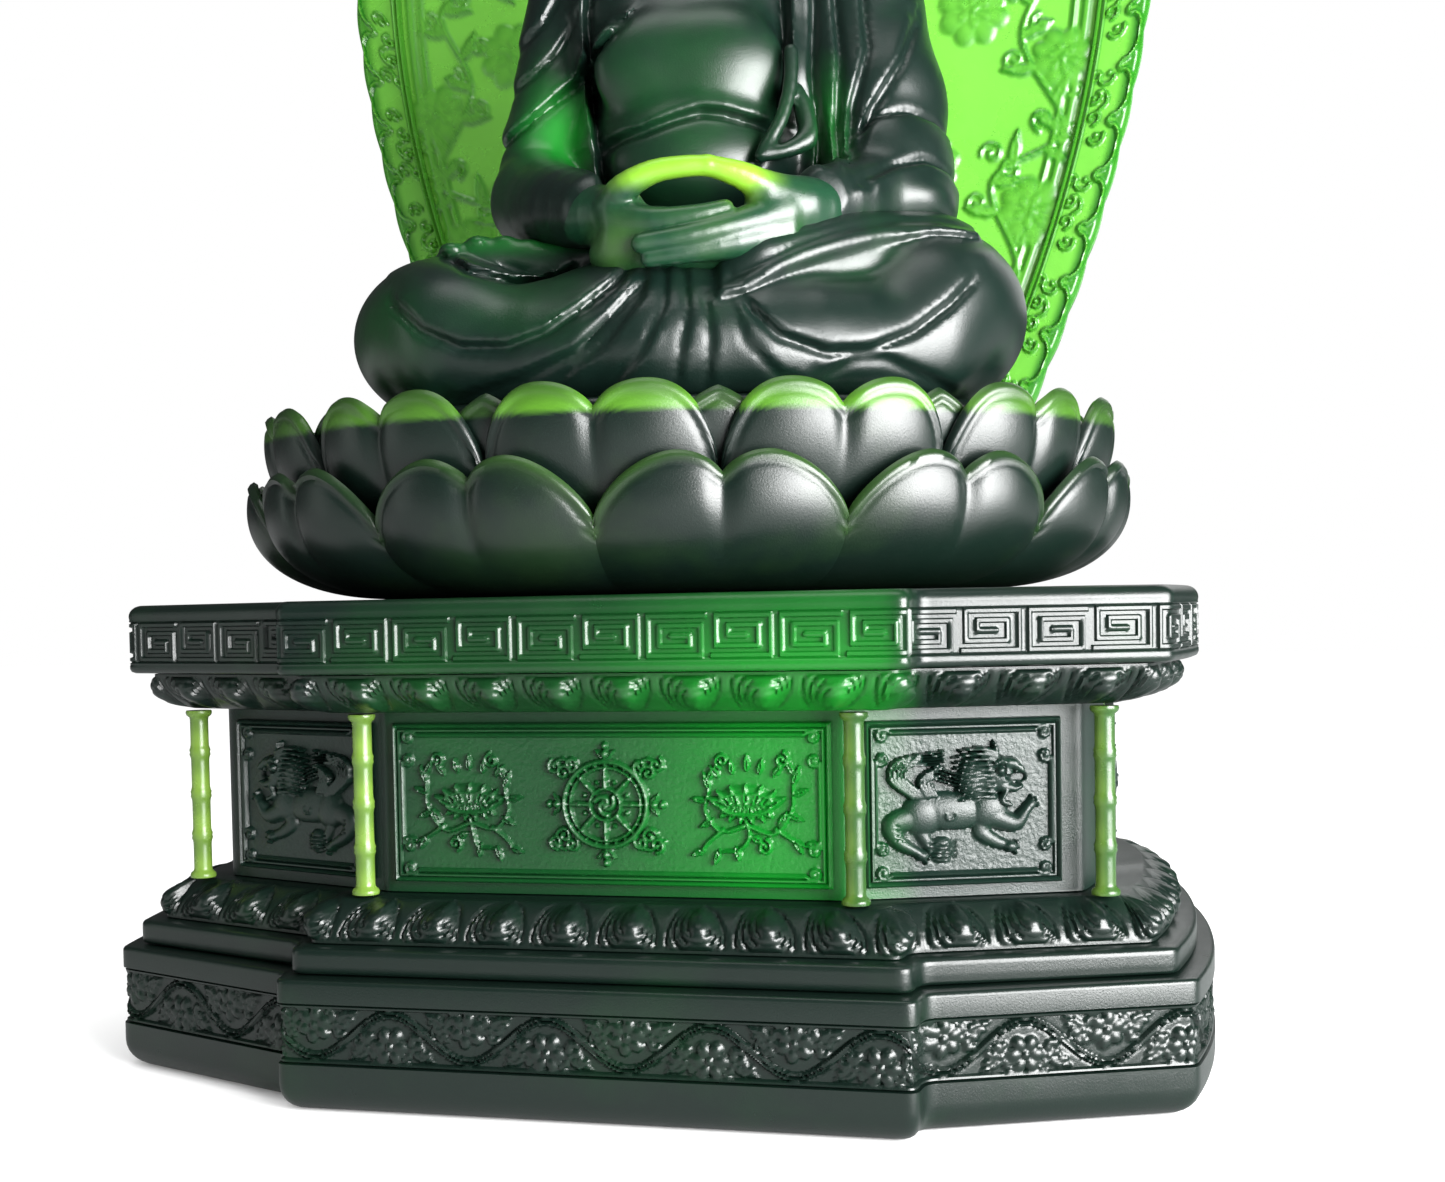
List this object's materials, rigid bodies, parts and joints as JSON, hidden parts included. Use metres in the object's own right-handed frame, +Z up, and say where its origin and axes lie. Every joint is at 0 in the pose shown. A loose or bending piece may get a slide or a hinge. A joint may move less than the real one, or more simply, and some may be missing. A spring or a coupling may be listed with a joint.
{
  "type": "seated figure statue on lotus throne",
  "caption": "Seated robed figure on a two-tier lotus throne, on a stepped pedestal with corner columns and relief panels, with a pointed screen standing behind it.",
  "frame": {"origin": "on the floor under the middle of the pedestal", "axes": "+Z up, the front of the pedestal faces -Y, +X to the right seen from the front"},
  "size_m": [0.2344, 0.1584, 0.366],
  "materials": {
    "dark_green_glass": "satin cast glass, nearly black where it is thick",
    "deep_green_glass": "satin cast glass, green where light comes through",
    "lime_glass": "satin cast glass, thin and bright yellow-green",
    "peg": "matte"
  },
  "bodies": {
    "pedestal": {"base_plinth": "dark_green_glass", "base_step": "dark_green_glass", "lower_petal_course": "dark_green_glass", "waist_core": "deep_green_glass", "upper_petal_course": "dark_green_glass", "top_slab": "dark_green_glass", "panel_front": "deep_green_glass", "panel_back": "deep_green_glass", "panel_side_left": "deep_green_glass", "panel_side_right": "deep_green_glass", "panel_slant_front_left": "deep_green_glass", "panel_slant_front_right": "deep_green_glass", "panel_slant_back_left": "deep_green_glass", "panel_slant_back_right": "deep_green_glass", "column_front_inner_left": "lime_glass", "column_front_inner_right": "lime_glass", "column_front_outer_left": "lime_glass", "column_front_outer_right": "lime_glass", "column_back_inner_left": "lime_glass", "column_back_inner_right": "lime_glass", "column_back_outer_left": "lime_glass", "column_back_outer_right": "lime_glass"},
    "dowel": {"locating_dowel": "peg"},
    "lotus": {"lotus_core": "dark_green_glass", "lotus_seat": "dark_green_glass", "lotus_lower_petals": "dark_green_glass", "lotus_upper_petals": "dark_green_glass", "robe_lap": "dark_green_glass", "torso": "dark_green_glass", "arm_left": "dark_green_glass", "arm_right": "dark_green_glass", "hands": "deep_green_glass", "head": "dark_green_glass", "hair": "dark_green_glass"},
    "screen": {"screen_field": "lime_glass", "screen_border": "lime_glass", "screen_tenon": "lime_glass"}
  },
  "joints": [
    {"name": "lotus_turn", "type": "hinge", "parent": "pedestal", "child": "dowel", "pos_m": [0.005, -0.003, 0.1], "axis": [0, 0, 1], "range_deg": [-28, 0]},
    {"name": "lotus_lift", "type": "slide", "parent": "dowel", "child": "lotus", "axis": [0, 0, 1], "range_m": [0, 0.05]},
    {"name": "screen_lift", "type": "slide", "parent": "pedestal", "child": "screen", "axis": [0, 0, 1], "range_m": [0, 0.05]}
  ]
}
